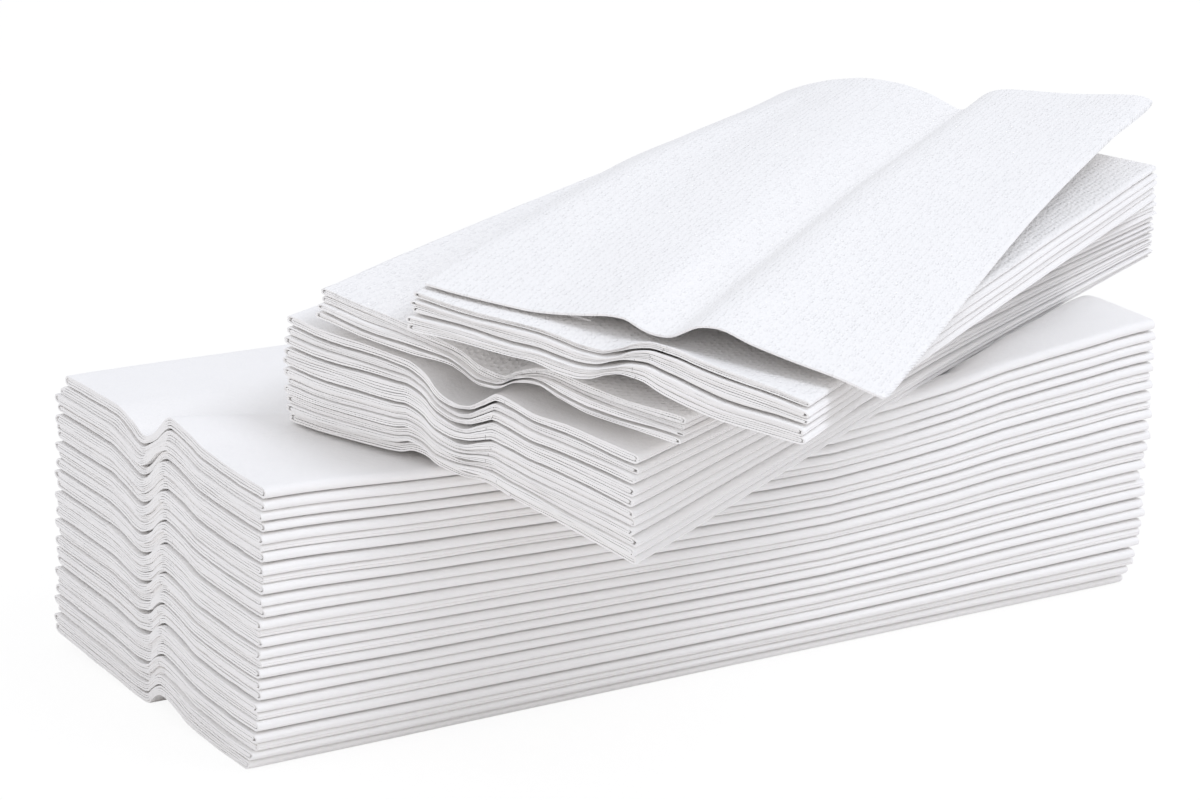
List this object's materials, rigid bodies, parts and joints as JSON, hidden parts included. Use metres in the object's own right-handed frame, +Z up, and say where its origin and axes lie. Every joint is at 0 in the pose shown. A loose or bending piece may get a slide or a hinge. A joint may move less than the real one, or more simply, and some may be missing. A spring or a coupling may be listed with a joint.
{
  "type": "stack of c-fold paper towels",
  "caption": "Heap of white c-fold paper towels: a pressed stack with a looser stack fanned askew on it and a half-open embossed towel on top.",
  "frame": {"origin": "bottom centre of the box that the whole heap fills, on the surface that it lies on", "axes": "+X along the folds of the lower stack, from the cut end that faces the viewer to the far one; -Y out of the long front side; +Z up"},
  "size_m": [0.31, 0.2456, 0.115],
  "materials": {
    "towel_paper": "soft matt white tissue with a fine crepe ripple",
    "embossed_paper": "soft matt white tissue with staggered rows of small woven-looking embossed dimples"
  },
  "bodies": {
    "root": {"lower_towel_01": "towel_paper", "lower_towel_02": "towel_paper", "lower_towel_03": "towel_paper", "lower_towel_04": "towel_paper", "lower_towel_05": "towel_paper", "lower_towel_06": "towel_paper", "lower_towel_07": "towel_paper", "lower_towel_08": "towel_paper", "lower_towel_09": "towel_paper", "lower_towel_10": "towel_paper", "lower_towel_11": "towel_paper", "lower_towel_12": "towel_paper", "lower_towel_13": "towel_paper", "lower_towel_14": "towel_paper", "lower_towel_15": "towel_paper", "lower_towel_16": "towel_paper", "lower_towel_17": "towel_paper", "lower_towel_18": "towel_paper", "lower_towel_19": "towel_paper", "lower_towel_20": "towel_paper", "lower_towel_21": "towel_paper", "lower_towel_22": "towel_paper", "lower_towel_23": "towel_paper", "lower_towel_24": "towel_paper", "lower_towel_25": "towel_paper", "lower_towel_26": "towel_paper", "lower_towel_27": "towel_paper", "upper_towel_01": "towel_paper", "upper_towel_02": "towel_paper", "upper_towel_03": "towel_paper", "upper_towel_04": "towel_paper", "upper_towel_05": "towel_paper", "upper_towel_06": "towel_paper", "upper_towel_07": "towel_paper", "upper_towel_08": "towel_paper", "upper_towel_09": "towel_paper", "upper_towel_10": "towel_paper", "upper_towel_11": "towel_paper", "middle_towel_01": "towel_paper", "middle_towel_02": "towel_paper", "middle_towel_03": "towel_paper", "middle_towel_04": "embossed_paper", "top_towel_01": "towel_paper", "top_towel_02": "towel_paper", "top_towel_03": "towel_paper", "top_towel_04": "towel_paper", "top_towel_05": "embossed_paper", "open_towel": "embossed_paper"}
  },
  "joints": []
}
